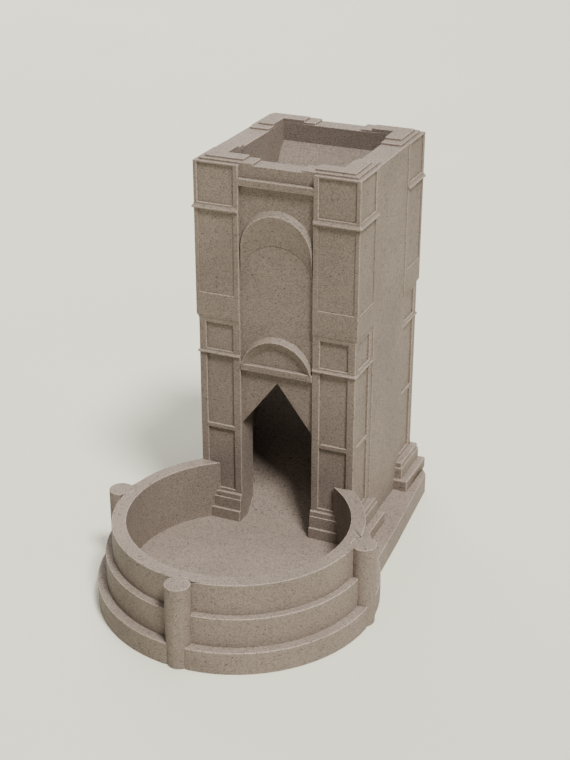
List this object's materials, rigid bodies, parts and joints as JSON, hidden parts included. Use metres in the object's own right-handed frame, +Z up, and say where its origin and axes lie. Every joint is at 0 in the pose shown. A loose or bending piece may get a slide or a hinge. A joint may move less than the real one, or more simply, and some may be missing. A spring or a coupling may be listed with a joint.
{
  "type": "dice tower",
  "caption": "Free-standing dice tower: a hollow square shaft with classical corner pilasters, inner baffles and an exit ramp, opening through a pointed door into a round catch tray.",
  "frame": {"origin": "bottom centre of the bounding box, on the table", "axes": "+Z up, -Y towards the tray, door facing -Y, +X to the right as seen from the tray"},
  "size_m": [0.1326, 0.195, 0.192],
  "materials": {
    "stone_filament": "matte beige-grey printed plastic with fine dark flecks, faint horizontal layer lines on upright faces and raster lines on flat tops"
  },
  "bodies": {
    "root": {"base_slab": "stone_filament", "tray_wall_lower": "stone_filament", "tray_wall_upper": "stone_filament", "tray_post_left": "stone_filament", "tray_post_front": "stone_filament", "tray_post_right": "stone_filament", "plinth_front_left": "stone_filament", "plinth_front_right": "stone_filament", "plinth_back_left": "stone_filament", "plinth_back_right": "stone_filament", "front_wall": "stone_filament", "back_wall": "stone_filament", "left_wall": "stone_filament", "right_wall": "stone_filament", "lower_pilaster_front_left": "stone_filament", "lower_pilaster_front_right": "stone_filament", "lower_pilaster_back_left": "stone_filament", "lower_pilaster_back_right": "stone_filament", "upper_pilaster_front_left": "stone_filament", "upper_pilaster_front_right": "stone_filament", "upper_pilaster_back_left": "stone_filament", "upper_pilaster_back_right": "stone_filament", "cornice_bar": "stone_filament", "lintel_bar": "stone_filament", "upper_arch_hood": "stone_filament", "lunette_hood": "stone_filament", "rim_cap_front_left": "stone_filament", "rim_cap_front_right": "stone_filament", "rim_cap_back_left": "stone_filament", "rim_cap_back_right": "stone_filament", "upper_baffle": "stone_filament", "middle_baffle": "stone_filament", "exit_ramp": "stone_filament"}
  },
  "joints": []
}
